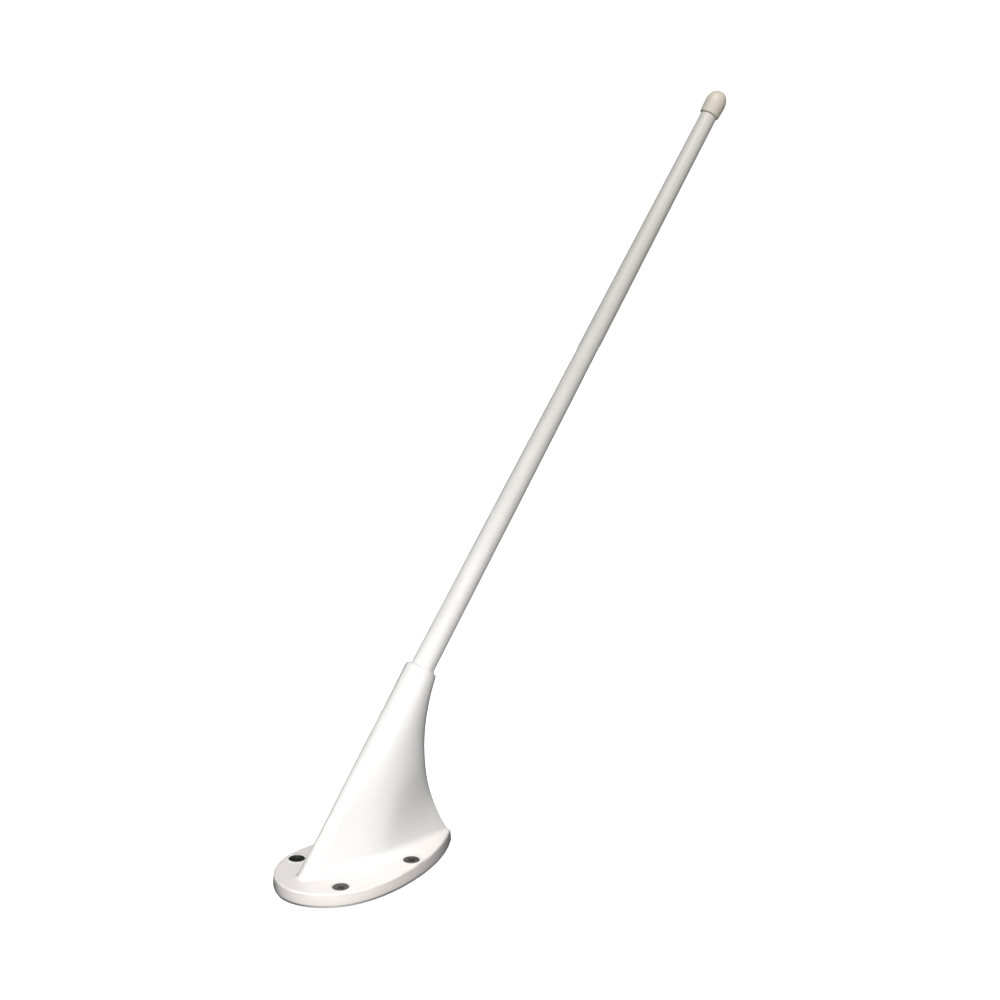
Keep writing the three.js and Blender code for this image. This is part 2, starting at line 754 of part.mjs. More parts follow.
function boardBracket() {
  const bottom = plate.thickness + SEAT;
  const legFront = boardBack + SEAT;
  const legBack = legFront + bracket.thickness;
  const body = join(
    solid(box(bracket.x, [bracket.footFront, legBack], [bottom, bottom + bracket.thickness])),
    solid(box(bracket.x, [legFront, legBack], [bottom, bracket.legTop])),
  );
  const footHole = (x) => solid(bar(screwHole, 0, 8, 12).translate(x, bracketScrewY, 0));
  const legHole = (x) => solid(alongY(bar(screwHole, -8, 8, 12)).translate(x, 0, boardScrewZ));
  return geometryOf(cut(body, ...bracketScrewX.map(footHole), ...boardScrewX.map(legHole)));
}

// A round component of a given radius along Y, with two pins that reach the board.
function discCapacitor(radius, thickness, spacing) {
  const disc = solid(alongY(bar(radius, -thickness / 2, thickness / 2, 18)));
  const pin = (x) => solid(alongY(bar(lead.pin, -thickness / 2 - 0.6, 0, 8)).translate(x, 0, 0));
  return geometryOf(join(disc, pin(-spacing / 2), pin(spacing / 2)));
}

function drainResistor() {
  const body = [[0, -3.2], [0.9, -3.2], [1.2, -2.6], [1.2, 2.6], [0.9, 3.2], [0, 3.2]];
  const pin = (z) => solid(alongY(bar(lead.pin, -1.5, 0, 8)).translate(0, 0, z));
  return geometryOf(join(solid(turned(body, 12)), pin(-2.2), pin(2.2)));
}

class Helix extends THREE.Curve {
  constructor(radius, pitch, turns) {
    super();
    Object.assign(this, { radius, pitch, turns });
  }

  getPoint(t, target = new THREE.Vector3()) {
    const turn = 2 * Math.PI * this.turns * t;
    const height = this.pitch * this.turns * t;
    return target.set(this.radius * Math.cos(turn), this.radius * Math.sin(turn), height);
  }
}

function addMatchingNetwork(parent) {
  piece("matching_board", matchingBoard(), laminate, parent);
  piece("board_bracket", boardBracket(), aluminium, parent);
  boardScrewX.forEach((x, i) => {
    const screw = piece(`board_screw_${i + 1}`, panHeadScrew(3.6), steel, parent);
    screw.rotation.x = Math.PI / 2;
    screw.position.set(x, boardFront - SEAT, boardScrewZ);
  });
  bracketScrewX.forEach((x, i) => {
    const screw = piece(`bracket_screw_${i + 1}`, panHeadScrew(2.2), steel, parent);
    screw.position.set(x, bracketScrewY, plate.thickness + bracket.thickness + 2 * SEAT);
  });
  const tube = ring(former.inner, former.outer, former.bottom, former.top, 20);
  piece("coil_former", tube, ptfe, parent).position.set(...coil.at);
  const winding = wire(new Helix(coil.radius, coil.pitch, coil.turns), coil.wire, 9 * coil.turns, 5);
  piece("coil_winding", winding, copper, parent).position.set(...coil.at);
  const series = piece("series_capacitor", discCapacitor(3, 2, 3.2), ceramic, parent);
  series.position.set(4.5, 1.1, 44);
  const shunt = piece("shunt_capacitor", discCapacitor(2.4, 2, 2.6), ceramic, parent);
  shunt.position.set(22.6, 1.1, 24);
  piece("drain_resistor", drainResistor(), ceramic, parent).position.set(23, 1.2, 42);
}

function addWiring(parent) {
  const radiatorRoute = new THREE.CatmullRomCurve3([
    new THREE.Vector3(30.3, 0, 78.6),
    new THREE.Vector3(31.5, 0, 72),
    new THREE.Vector3(27, -1, 63),
    new THREE.Vector3(19, -0.6, 57),
    new THREE.Vector3(13.5, 1, 51),
    new THREE.Vector3(10, 1.5, 47.5),
  ]);
  piece("radiator_lead", wire(radiatorRoute, lead.radius, 24, 8), wireJacket, parent);
  const feedRoute = new THREE.CatmullRomCurve3([
    new THREE.Vector3(jack.x, 0, 13.2),
    new THREE.Vector3(jack.x, -0.4, 16.5),
    new THREE.Vector3(17.5, -0.6, 20),
    new THREE.Vector3(12.5, 1.2, 21.5),
  ]);
  piece("feed_lead", wire(feedRoute, lead.radius, 14, 8), wireJacket, parent);
  const strapRoute = new THREE.Shape();
  strapRoute.moveTo(29.2, 4);
  strapRoute.lineTo(29.6, 4);
  strapRoute.lineTo(29.6, 17);
  strapRoute.quadraticCurveTo(29.6, 20.4, 27.3, 20.4);
  strapRoute.lineTo(27.3, 20);
  strapRoute.quadraticCurveTo(29.2, 20, 29.2, 17);
  strapRoute.closePath();
  const strap = new THREE.ExtrudeGeometry(strapRoute, { depth: 3, curveSegments: 5, bevelEnabled: false });
  piece("ground_strap", strap.rotateX(Math.PI / 2).translate(0, 4.4, 0), copper, parent);
}

// ---------- the antenna ----------

const antenna = new THREE.Group();
piece("base_fairing", baseFairing(), paint, antenna);
piece("base_plate", basePlate(), aluminium, antenna);
addMountingHardware(antenna);
addPlateFasteners(antenna);
addWhip(antenna);
addJack(antenna);
addMatchingNetwork(antenna);
addWiring(antenna);

export default antenna;
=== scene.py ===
"""The looks of a swept VHF whip antenna, built round its CAD frame.

The frame: +X aft, +Z up, the origin on the mounting face at the centre of the four mounting screws.
Shapes are worked out in millimetres and made into meshes in metres.
"""

import json
import math

import bpy
import numpy as np
from mathutils import Matrix, Vector


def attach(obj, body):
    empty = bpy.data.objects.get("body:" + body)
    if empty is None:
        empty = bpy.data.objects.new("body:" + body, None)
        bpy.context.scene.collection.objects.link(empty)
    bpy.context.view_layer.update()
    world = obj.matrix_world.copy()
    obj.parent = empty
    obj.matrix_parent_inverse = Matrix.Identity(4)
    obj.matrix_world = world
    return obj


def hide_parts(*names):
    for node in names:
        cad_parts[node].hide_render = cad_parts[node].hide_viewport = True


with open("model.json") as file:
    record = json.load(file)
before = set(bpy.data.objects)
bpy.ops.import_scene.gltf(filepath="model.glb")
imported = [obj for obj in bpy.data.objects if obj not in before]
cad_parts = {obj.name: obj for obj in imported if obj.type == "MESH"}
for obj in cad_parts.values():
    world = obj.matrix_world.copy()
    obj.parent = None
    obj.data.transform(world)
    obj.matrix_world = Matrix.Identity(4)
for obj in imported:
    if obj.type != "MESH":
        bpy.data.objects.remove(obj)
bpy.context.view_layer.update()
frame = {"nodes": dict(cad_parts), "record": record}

# ---------- dimensions, in millimetres ----------

MM = 0.001
SAME_POINT = 0.002  # points closer than this are one point
SWEEP = math.radians(35.7)  # the whip's lean, from the vertical
SEAT = 0.05  # between neighbours that rest on each other

PLATE_THICKNESS = 1.6
PLATE_INSET = 0.5

FLANGE_NOSE = -54.3
FLANGE_LENGTH = 128.2
FLANGE_TOP = 9.4
FLANGE_FULLNESS = (86.4, 99.6, 81.7, 133.4)  # controls of the outline, from nose to tail
EDGE_RADIUS = 1.3
LOWER_EDGE_RADIUS = 0.35
DRAFT = 0.4  # how far the flange's wall leans in over its height
TAIL_RADIUS = 2.0

COLLAR_TOP = np.array([52.2, 0.0, 123.0])
COLLAR_RADIUS = 10.3
COLLAR_RIM = 2.0
TRAILING_EDGE = (70.9, 50.1, 47.2, 59.4)  # x of the curve's controls, from the flange up
RIDGE = 0.5  # where the section is thickest, as a share of its chord
RIDGE_SHARPNESS = 6.0
NOSE_POWER = 0.52
TAIL_POWER = 0.95
ROUNDING = (0.12, 0.55)  # shares of the height between which the section turns round
BLUNTING = 1.1  # of the leading edge, at the flange; it fades out towards the collar
BLUNTING_REACH = 0.06
SIDE_FILLET = 6.5
NOSE_FILLET = 1.2
TAIL_FILLET = 0.25
WALL = 2.8
NOSE_WALL = 1.4 * WALL
TAIL_WALL = 9.0
CAVITY_TOP = 0.66  # a share of the fairing's height

WHIP_ROOT_RADIUS = 7.47
WHIP_TAPER = 0.0056
WHIP_TOP = 404.0
WHIP_WALL = 1.7
FERRULE_BORE = 8.0
FERRULE_DEPTH = 60.0
CAP_RIM = 396.0
CAP_LENGTH = 17.3
CAP_RIM_RADIUS = 6.25
CAP_RADIUS = 6.698
CAP_BORE = 8.6  # the depth to which the whip goes into the cap

MOUNTING_PLACES = {
    "front_right": (-27.1, 24.1),
    "front_left": (-27.1, -24.1),
    "rear_right": (27.1, 21.2),
    "rear_left": (27.1, -21.2),
}
PLATE_SCREW_PLACES = ((-44.8, 0), (0, 27), (0, -27), (43.7, 11), (43.7, -11), (60.7, 0))
LIP_HEIGHT = 0.35  # of the paint rolled up round each mounting hole
LIP_RADIUS = 7.2
BUSH_RADIUS = 4.3
BUSH_RIM_RADIUS = 5.05
BUSH_BORE = 2.75
BUSH_RIM_HEIGHT = 1.8  # of the wide top, with its cone
BUSH_CONE = 0.7
JACK_X = 20.0
JACK_MOUTH = -14.5
JACK_NUT_TOP = -0.5

HALF_RING = 110  # steps of a ring from nose to tail
TAIL_STEPS = 8  # of those, round the tail

# ---------- curves ----------


def smoothstep(low, high, x):
    t = np.clip((x - low) / (high - low), 0, 1)
    return t * t * (3 - 2 * t)


def blend(controls, t):
    """The value at t of a cubic Bezier curve with four control values."""
    a, b, c, d = controls
    s = 1 - t
    return a * s**3 + 3 * b * t * s**2 + 3 * c * t**2 * s + d * t**3


def rounded(profile, radius, steps=4):
    """The open profile with each inner corner rounded."""
    points = [np.array(p, float) for p in profile]
    result = [points[0]]
    for before, corner, after in zip(points, points[1:], points[2:]):
        length_before = np.linalg.norm(before - corner)
        length_after = np.linalg.norm(after - corner)
        reach = min(radius, 0.45 * length_before, 0.45 * length_after)
        start = corner + reach * (before - corner) / length_before
        end = corner + reach * (after - corner) / length_after
        for t in np.linspace(0, 1, steps + 1):
            result.append((1 - t) ** 2 * start + 2 * t * (1 - t) * corner + t**2 * end)
    result.append(points[-1])
    return result


# ---------- meshes ----------


def mesh_object(name, points, faces):
    """A mesh of points in millimetres."""
    mesh = bpy.data.meshes.new(name)
    mesh.from_pydata([tuple(p * MM) for p in points], [], faces)
    mesh.validate()
    made = bpy.data.objects.new(name, mesh)
    bpy.context.scene.collection.objects.link(made)
    return made


def loft(name, rings):
    """A closed skin through rings of equal length, the lowest first and each clockwise from above."""
    count = len(rings[0])
    faces = []
    for level in range(len(rings) - 1):
        for i in range(count):
            a = level * count + i
            b = level * count + (i + 1) % count
            faces.append((b, a, a + count, b + count))
    faces.append(tuple(range(count)))
    last = (len(rings) - 1) * count
    faces.append(tuple(last + i for i in reversed(range(count))))
    return mesh_object(name, np.concatenate(rings), faces)


def turned(name, profile, segments=96):
    """A [radius, height] profile turned round Z. A profile that doesn't close ends on the axis."""
    closed = np.allclose(profile[0], profile[-1])
    levels = profile[:-1] if closed else profile
    points = []
    rows = []
    for radius, height in levels:
        if radius < 1e-6:
            rows.append([len(points)] * segments)
            points.append(np.array([0, 0, height]))
            continue
        rows.append(list(range(len(points), len(points) + segments)))
        for i in range(segments):
            angle = 2 * math.pi * i / segments
            points.append(np.array([radius * math.cos(angle), radius * math.sin(angle), height]))
    faces = []
    pairs = list(zip(rows, rows[1:])) + ([(rows[-1], rows[0])] if closed else [])
    for low, high in pairs:
        for i in range(segments):
            j = (i + 1) % segments
            corners = []
            for corner in (low[i], low[j], high[j], high[i]):
                if corner not in corners:
                    corners.append(corner)
            if len(corners) > 2:
                faces.append(corners)
    return mesh_object(name, points, faces)


def prism(name, outline, levels):
    """A prism through (height, scale) levels of one outline of (x, y) points."""
    rings = []
    for height, scale in levels:
        ring = [np.array([x * scale, y * scale, height]) for x, y in reversed(outline)]
        rings.append(np.array(ring))
    return loft(name, rings)


def settle(piece):
    """Applies the piece's modifiers to its mesh."""
    graph = bpy.context.evaluated_depsgraph_get()
    mesh = bpy.data.meshes.new_from_object(piece.evaluated_get(graph))
    piece.modifiers.clear()
    piece.data = mesh


def combine(body, others, operation):
    """Cuts the other meshes out of the body, or joins them to it, and takes them away.

    Points closer than SAME_POINT are welded after it, which leaves no needle faces.
    """
    for other in others:
        step = body.modifiers.new(operation, "BOOLEAN")
        step.operation = operation
        step.solver = "MANIFOLD"
        step.object = other
    weld = body.modifiers.new("weld", "WELD")
    weld.merge_threshold = SAME_POINT * MM
    settle(body)
    for other in others:
        bpy.data.objects.remove(other)


def bevel(piece, width, angle=30):
    """Rounds the piece's edges that turn by more than the angle."""
    edge = piece.modifiers.new("bevel", "BEVEL")
    edge.width = width * MM
    edge.segments = 3
    edge.limit_method = "ANGLE"
    edge.angle_limit = math.radians(angle)
    settle(piece)


def finished(piece, material, replaces, sharp=40):
    """Smooths the piece's shading, gives it its material, and lets it ride with the frame."""
    piece.data.shade_smooth()
    piece.data.set_sharp_from_angle(angle=math.radians(sharp))
    piece.data.materials.clear()
    piece.data.materials.append(material)
    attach(piece, "root")
    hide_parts(replaces)


def lean(piece):
    """Sets a piece, made round Z with the collar's top at the origin, along the whip's axis."""
    tilt = Matrix.Rotation(SWEEP, 4, "Y")
    piece.data.transform(Matrix.Translation(Vector(COLLAR_TOP) * MM) @ tilt)


def placed(piece, x, y):
    """The piece, moved to a place on the mounting face."""
    piece.location = (x * MM, y * MM, 0)
    return piece


# ---------- materials ----------


def new_material(name, color, roughness, metallic=0.0, coat=0.0, coat_roughness=0.05):
    material = bpy.data.materials.new(name)
    material.use_nodes = True
    shader = material.node_tree.nodes["Principled BSDF"]
    shader.inputs["Base Color"].default_value = (*color, 1)
    shader.inputs["Roughness"].default_value = roughness
    shader.inputs["Metallic"].default_value = metallic
    shader.inputs["Coat Weight"].default_value = coat
    shader.inputs["Coat Roughness"].default_value = coat_roughness
    return material


def object_place(material):
    return material.node_tree.nodes.new("ShaderNodeTexCoord").outputs["Object"]


def whip_place(material):
    """Coordinates whose Z runs along the whip from the collar's top."""
    mapping = material.node_tree.nodes.new("ShaderNodeMapping")
    mapping.vector_type = "TEXTURE"
    mapping.inputs["Location"].default_value = COLLAR_TOP * MM
    mapping.inputs["Rotation"].default_value = (0, SWEEP, 0)
    material.node_tree.links.new(object_place(material), mapping.inputs["Vector"])
    return mapping.outputs["Vector"]


def noise_at(material, place, scale, detail=3.0, stretch=(1, 1, 1)):
    """Noise with a scale per metre."""
    nodes, links = material.node_tree.nodes, material.node_tree.links
    mapping = nodes.new("ShaderNodeMapping")
    mapping.inputs["Scale"].default_value = stretch
    noise = nodes.new("ShaderNodeTexNoise")
    noise.inputs["Scale"].default_value = scale
    noise.inputs["Detail"].default_value = detail
    links.new(place, mapping.inputs["Vector"])
    links.new(mapping.outputs["Vector"], noise.inputs["Vector"])
    return noise.outputs["Fac"]


def place_noise(material, scale, detail=3.0, stretch=(1, 1, 1)):
    return noise_at(material, object_place(material), scale, detail, stretch)


def ranged(material, value, low, high, start=0.3, end=0.7):
    """A value brought from start..end to low..high."""
    nodes, links = material.node_tree.nodes, material.node_tree.links
    span = nodes.new("ShaderNodeMapRange")
    span.inputs["From Min"].default_value = start
    span.inputs["From Max"].default_value = end
    span.inputs["To Min"].default_value = low
    span.inputs["To Max"].default_value = high
    links.new(value, span.inputs["Value"])
    return span.outputs["Result"]


def mixed(material, share, first, second):
    """A colour between two, which are colours or sockets."""
    nodes, links = material.node_tree.nodes, material.node_tree.links
    mix = nodes.new("ShaderNodeMix")
    mix.data_type = "RGBA"
    links.new(share, mix.inputs["Factor"])
    for socket, color in (("A", first), ("B", second)):
        target = next(s for s in mix.inputs if s.name == socket and s.type == "RGBA")
        if isinstance(color, tuple):
            target.default_value = (*color, 1)
        else:
            links.new(color, target)
    return next(s for s in mix.outputs if s.type == "RGBA")


def color_from(material, socket):
    shader = material.node_tree.nodes["Principled BSDF"]
    material.node_tree.links.new(socket, shader.inputs["Base Color"])


def roughness_from(material, socket):
    shader = material.node_tree.nodes["Principled BSDF"]
    material.node_tree.links.new(socket, shader.inputs["Roughness"])


def relief(material, socket, depth, coat=False):
    """Bumps of a depth in millimetres. Bumps in the coat leave the layer under it smooth."""
    nodes, links = material.node_tree.nodes, material.node_tree.links
    bump = nodes.new("ShaderNodeBump")
    bump.inputs["Distance"].default_value = depth * MM
    links.new(socket, bump.inputs["Height"])
    shader = nodes["Principled BSDF"]
    links.new(bump.outputs["Normal"], shader.inputs["Coat Normal" if coat else "Normal"])


def gloss_paint():
    """White enamel, with a warm pinkish tint painted on the flange and the fairing's foot as bounce
    light from below, and the shallow ripple of sprayed paint in its gloss.
    """
    white = (0.86, 0.855, 0.845)
    material = new_material("gloss_white_paint", white, 0.4, coat=1.0, coat_roughness=0.08)
    nodes, links = material.node_tree.nodes, material.node_tree.links
    split = nodes.new("ShaderNodeSeparateXYZ")
    links.new(object_place(material), split.inputs["Vector"])
    # Painted bounce light: below the flange's top the colour turns warm and pinkish, and it fades to
    # white over the fairing's lowest 6 mm.
    rise = ranged(material, split.outputs["Z"], 0, 1, FLANGE_TOP * MM, (FLANGE_TOP + 6) * MM)
    base = mixed(material, rise, (0.895, 0.825, 0.785), (0.87, 0.868, 0.86))
    drift = ranged(material, place_noise(material, 45), 0, 0.5)
    color_from(material, mixed(material, drift, base, (0.845, 0.835, 0.825)))
    roughness_from(material, ranged(material, place_noise(material, 60, 1.0), 0.28, 0.36, 0, 1))
    relief(material, place_noise(material, 300, 1.0), 0.004, coat=True)
    return material


def whip_paint():
    """Painted fibreglass, cream towards the tip and whiter near the root, with faint strands."""
    material = new_material("whip_paint", (0.8, 0.78, 0.73), 0.42, coat=0.15, coat_roughness=0.25)
    nodes, links = material.node_tree.nodes, material.node_tree.links
    place = whip_place(material)
    split = nodes.new("ShaderNodeSeparateXYZ")
    links.new(place, split.inputs["Vector"])
    height = ranged(material, split.outputs["Z"], 0, 1, 0.02, 0.36)
    base = mixed(material, height, (0.775, 0.77, 0.75), (0.85, 0.82, 0.755))
    drift = ranged(material, place_noise(material, 60), 0, 0.15)
    color_from(material, mixed(material, drift, base, (0.76, 0.735, 0.68)))
    strands = noise_at(material, place, 900, 2.0, (1, 1, 0.02))
    roughness_from(material, ranged(material, strands, 0.36, 0.5))
    relief(material, strands, 0.012)
    return material


def moulded(name, color, shade, roughness, grain=900, depth=0.01):
    """Moulded plastic or rubber with a fine grain."""
    material = new_material(name, color, roughness)
    drift = ranged(material, place_noise(material, 120), 0, 1)
    color_from(material, mixed(material, drift, color, shade))
    fine = place_noise(material, grain, 2.0)
    roughness_from(material, ranged(material, fine, roughness - 0.06, roughness + 0.08))
    relief(material, fine, depth)
    return material


def turned_metal(name, color, shade, roughness, spacing=0.22):
    """Turned metal: fine rings of tool marks round the piece's own axis, under a mottled tarnish."""
    material = new_material(name, color, roughness, metallic=1.0)
    nodes, links = material.node_tree.nodes, material.node_tree.links
    place = nodes.new("ShaderNodeTexCoord")
    rings = nodes.new("ShaderNodeTexWave")
    rings.wave_type = "RINGS"
    rings.rings_direction = "Z"
    rings.inputs["Scale"].default_value = 0.3 / (spacing * MM)
    rings.inputs["Distortion"].default_value = 0.6
    links.new(place.outputs["Object"], rings.inputs["Vector"])
    tarnish = ranged(material, place_noise(material, 350), 0, 1)
    color_from(material, mixed(material, tarnish, color, shade))
    marks = rings.outputs["Fac"]
    roughness_from(material, ranged(material, marks, roughness - 0.05, roughness + 0.1, 0, 1))
    relief(material, marks, 0.004)
    return material


def sheet_metal(name, color, shade, roughness):
    """Milled sheet: straight brushing along X with a mottled coating."""
    material = new_material(name, color, roughness, metallic=1.0)
    drift = ranged(material, place_noise(material, 90), 0, 1)
    color_from(material, mixed(material, drift, color, shade))
    brushing = place_noise(material, 1600, 2.0, (0.03, 1, 1))
    roughness_from(material, ranged(material, brushing, roughness - 0.08, roughness + 0.12))
    relief(material, brushing, 0.004)
    return material


materials = {
    "gloss_white_paint": gloss_paint(),
    "whip_paint": whip_paint(),
    "cap_plastic": moulded("cap_plastic", (0.855, 0.785, 0.675), (0.82, 0.745, 0.63), 0.42),
    "sealant": moulded("sealant", (0.80, 0.79, 0.765), (0.75, 0.74, 0.71), 0.5, 400, 0.03),
    "plate_aluminium": sheet_metal("plate_aluminium", (0.90, 0.885, 0.87), (0.84, 0.825, 0.81), 0.5),
    "screw_steel": turned_metal("screw_steel", (0.15, 0.145, 0.14), (0.10, 0.10, 0.097), 0.3),
    "nickel_plate": turned_metal("nickel_plate", (0.66, 0.64, 0.59), (0.58, 0.56, 0.51), 0.26),
    "brass": turned_metal("brass", (0.72, 0.53, 0.23), (0.60, 0.42, 0.17), 0.34),
    "copper": turned_metal("copper", (0.74, 0.40, 0.24), (0.60, 0.30, 0.17), 0.36),
    "ptfe": moulded("ptfe", (0.84, 0.84, 0.82), (0.78, 0.78, 0.755), 0.45),
    "seal_rubber": moulded("seal_rubber", (0.03, 0.03, 0.03), (0.045, 0.043, 0.04), 0.7),
    "board_laminate": moulded("board_laminate", (0.04, 0.17, 0.07), (0.03, 0.13, 0.055), 0.35, 1400),
    "component_coating": moulded("component_coating", (0.50, 0.29, 0.10), (0.42, 0.23, 0.08), 0.38),
    "wire_jacket": moulded("wire_jacket", (0.46, 0.07, 0.045), (0.38, 0.05, 0.035), 0.45),
}


def dress_carried_nodes():
    """Each CAD node gets the material of its slot in the record."""
    for row in frame["record"]["subparts"]:
        node = frame["nodes"][row["node"]]
        node.data.materials.clear()
        node.data.materials.append(materials[row["material_slot"]])


# ---------- flange ----------


def half_width(s):
    """Half the flange's width at a share of its length behind the nose."""
    return np.sqrt(s) * (1 - s) * blend(FLANGE_FULLNESS, s)


def side_point(s):
    """A point of the flange's side, and the outward direction there."""
    step = 1e-5
    rise = (half_width(s + step) - half_width(s - step)) / (2 * step * FLANGE_LENGTH)
    out = np.array([-rise, 1.0])
    return np.array([FLANGE_NOSE + s * FLANGE_LENGTH, half_width(s)]), out / np.linalg.norm(out)


def tail_start(radius):
    """The share of the length where a round tail of that radius begins."""
    s = 0.999
    while True:
        at, out = side_point(s)
        if at[1] / out[1] >= radius:
            return s
        s -= 0.0002


def both_sides(half):
    """A ring, clockwise from above, from its half on the -Y side, which runs from nose to tail."""
    other = half[-2:0:-1] * np.array([1, -1, 1])
    return np.concatenate([half, other])[::-1]


def teardrop(inset, height):
    """The flange's outline moved inwards, at a height."""
    radius = max(TAIL_RADIUS, inset + 0.3)
    end = tail_start(radius)
    half = [(FLANGE_NOSE + inset, 0.0)]
    side_steps = HALF_RING - TAIL_STEPS
    for i in range(1, side_steps + 1):
        s = end * (1 - math.cos(math.pi * i / side_steps)) / 2
        at, out = side_point(s)
        half.append(tuple(at - inset * out))
    at, out = side_point(end)
    centre = at[0] - radius * out[0]
    for i in range(1, TAIL_STEPS + 1):
        turn = math.acos(out[0]) * (1 - i / TAIL_STEPS)
        half.append((centre + (radius - inset) * math.cos(turn), (radius - inset) * math.sin(turn)))
    return both_sides(np.array([(x, -y, height) for x, y in half]))


def flange_rings():
    """The flange's wall from its lower edge to the flat top, with both edges rounded."""
    bottom = PLATE_THICKNESS + SEAT
    rings = []
    for turn in np.linspace(0, math.pi / 2, 4):
        inset = LOWER_EDGE_RADIUS * (1 - math.sin(turn))
        rings.append(teardrop(inset, bottom + LOWER_EDGE_RADIUS * (1 - math.cos(turn))))
    for turn in np.linspace(0, math.pi / 2, 13):
        inset = DRAFT + EDGE_RADIUS * (1 - math.cos(turn))
        rings.append(teardrop(inset, FLANGE_TOP - EDGE_RADIUS * (1 - math.sin(turn))))
    return rings


# ---------- fairing ----------

AXIS = np.array([math.sin(SWEEP), 0, math.cos(SWEEP)])
ACROSS = np.array([math.cos(SWEEP), 0, -math.sin(SWEEP)])
SHARES = (1 - np.cos(np.pi * np.arange(HALF_RING + 1) / HALF_RING)) / 2


def leading_edge(v):
    """Points of the leading edge, a straight line parallel to the whip, at shares of its height."""
    top = COLLAR_TOP - COLLAR_RIM * AXIS - COLLAR_RADIUS * ACROSS
    drop = (top[2] - FLANGE_TOP) * (1 - v)
    return np.stack([top[0] - drop * math.tan(SWEEP), 0 * v, top[2] - drop], axis=-1)


def trailing_edge(v):
    """Points of the hollow trailing edge."""
    top = COLLAR_TOP - COLLAR_RIM * AXIS + COLLAR_RADIUS * ACROSS
    return np.stack([blend(TRAILING_EDGE, v), 0 * v, FLANGE_TOP + (top[2] - FLANGE_TOP) * v], axis=-1)


def flanked(share):
    """The lower section's form: a round nose, a fine tail, and flanks that meet in a soft ridge."""
    front = np.maximum(share / RIDGE, 1e-9) ** NOSE_POWER
    rear = np.maximum((1 - share) / (1 - RIDGE), 1e-9) ** TAIL_POWER
    return (0.5 * front**-RIDGE_SHARPNESS + 0.5 * rear**-RIDGE_SHARPNESS) ** (-1 / RIDGE_SHARPNESS)


def half_thickness(v, share):
    """Half the section's thickness: round at the collar, and flanked towards the flange."""
    circle = 2 * np.sqrt(share * (1 - share))
    form = flanked(share) + (circle - flanked(share)) * smoothstep(*ROUNDING, v)
    blunt = 1 + BLUNTING * np.clip(1 - v, 0, 1) * np.exp(-share / BLUNTING_REACH)
    return COLLAR_RADIUS * form * blunt


def section_half(v, shares, wall=0.0):
    """Half a section on the -Y side. v may differ from point to point."""
    front, rear = leading_edge(v), trailing_edge(v)
    points = front + (rear - front) * shares[:, None]
    points[:, 1] = -np.maximum(half_thickness(v, shares) - wall, 0)
    return points


def outward(half):
    """The level direction out of a half section at each of its points."""
    along = np.gradient(half[:, :2], axis=0)
    along[0] = along[-1] = (0, 0)
    along[0, 1], along[-1, 1] = -1, 1
    out = np.stack([along[:, 1], -along[:, 0]], axis=-1)
    return out / np.linalg.norm(out, axis=1)[:, None]


def share_of_height(rise):
    """The share v at which each point of a section stands that far above the flange."""
    full = leading_edge(np.ones(1))[0, 2] * (1 - SHARES) + trailing_edge(np.ones(1))[0, 2] * SHARES
    return rise / (full - FLANGE_TOP)


def foot_fillet(radius):
    """Rings up the fillet at the foot, whose radius differs from point to point."""
    rings = []
    for turn in np.linspace(0, math.pi / 2, 13):
        half = section_half(share_of_height(radius * (1 - math.cos(turn))), SHARES)
        spread = radius * (1 - math.sin(turn))
        half[:, :2] += outward(half) * spread[:, None]
        half[[0, -1], 1] = 0
        rings.append(both_sides(half))
    return rings


def collar_rim():
    """Rings over the collar's rounded rim."""
    rings = []
    for turn in np.linspace(0, math.pi / 2, 10)[1:]:
        centre = COLLAR_TOP - COLLAR_RIM * (1 - math.sin(turn)) * AXIS
        radius = COLLAR_RADIUS - COLLAR_RIM * (1 - math.cos(turn))
        half = centre + np.outer(2 * SHARES - 1, ACROSS) * radius
        half[:, 1] = -2 * np.sqrt(SHARES * (1 - SHARES)) * radius
        rings.append(both_sides(half))
    return rings


def fairing_rings():
    """From the flange's flat top in to the foot, up the fillet and sides, and over the rim."""
    ease = np.sin(np.pi * SHARES) ** 0.6
    aft = SHARES > 0.5
    radius = NOSE_FILLET + (SIDE_FILLET - NOSE_FILLET) * ease
    radius[aft] = np.maximum(SIDE_FILLET * ease, TAIL_FILLET)[aft]
    fillet = foot_fillet(radius)
    edge = teardrop(DRAFT + EDGE_RADIUS, FLANGE_TOP)
    flat = [edge + (fillet[0] - edge) * share for share in (0.03, 0.15, 0.4, 0.65, 0.88, 0.98)]
    base = share_of_height(radius)
    side = []
    for t in np.linspace(0, 1, 57)[1:]:
        side.append(both_sides(section_half(base + (1 - base) * t, SHARES)))
    return flat + fillet + side + collar_rim()


def cavity():
    """The hollow inside the fairing, open to the base plate."""
    least = 0.3  # half the hollow's width towards its ends
    count = 41
    steps = (1 - np.cos(np.linspace(0, np.pi, count))) / 2
    rings = []
    for v in (0, 0, *np.linspace(0.04, CAVITY_TOP, 12)):
        chord = np.linalg.norm(trailing_edge(np.array(v)) - leading_edge(np.array(v)))
        first = NOSE_WALL / chord
        last = 1 - TAIL_WALL / chord
        half = section_half(np.full(count, float(v)), first + (last - first) * steps, WALL)
        half[1:-1, 1] = np.minimum(half[1:-1, 1], -least)
        half[[0, -1], 1] = 0
        rings.append(both_sides(half))
    rings[0][:, 2] = 0
    return loft("cavity", rings)


def cylinder(name, radius, low, high, segments=96):
    """A cylinder round Z between two heights."""
    return turned(name, [(0, low), (radius, low), (radius, high), (0, high)], segments)


def paint_lip(x, y):
    """The low swelling that thick paint leaves round a mounting hole."""
    slope = 1.6
    foot = FLANGE_TOP - 0.01
    profile = [(0, FLANGE_TOP - 1), (LIP_RADIUS, FLANGE_TOP - 1)]
    for t in np.linspace(0, 1, 9):
        profile.append((LIP_RADIUS - slope * t, foot + LIP_HEIGHT * smoothstep(0, 1, t)))
    profile.append((0, foot + LIP_HEIGHT))
    return placed(turned("paint_lip", profile), x, y)


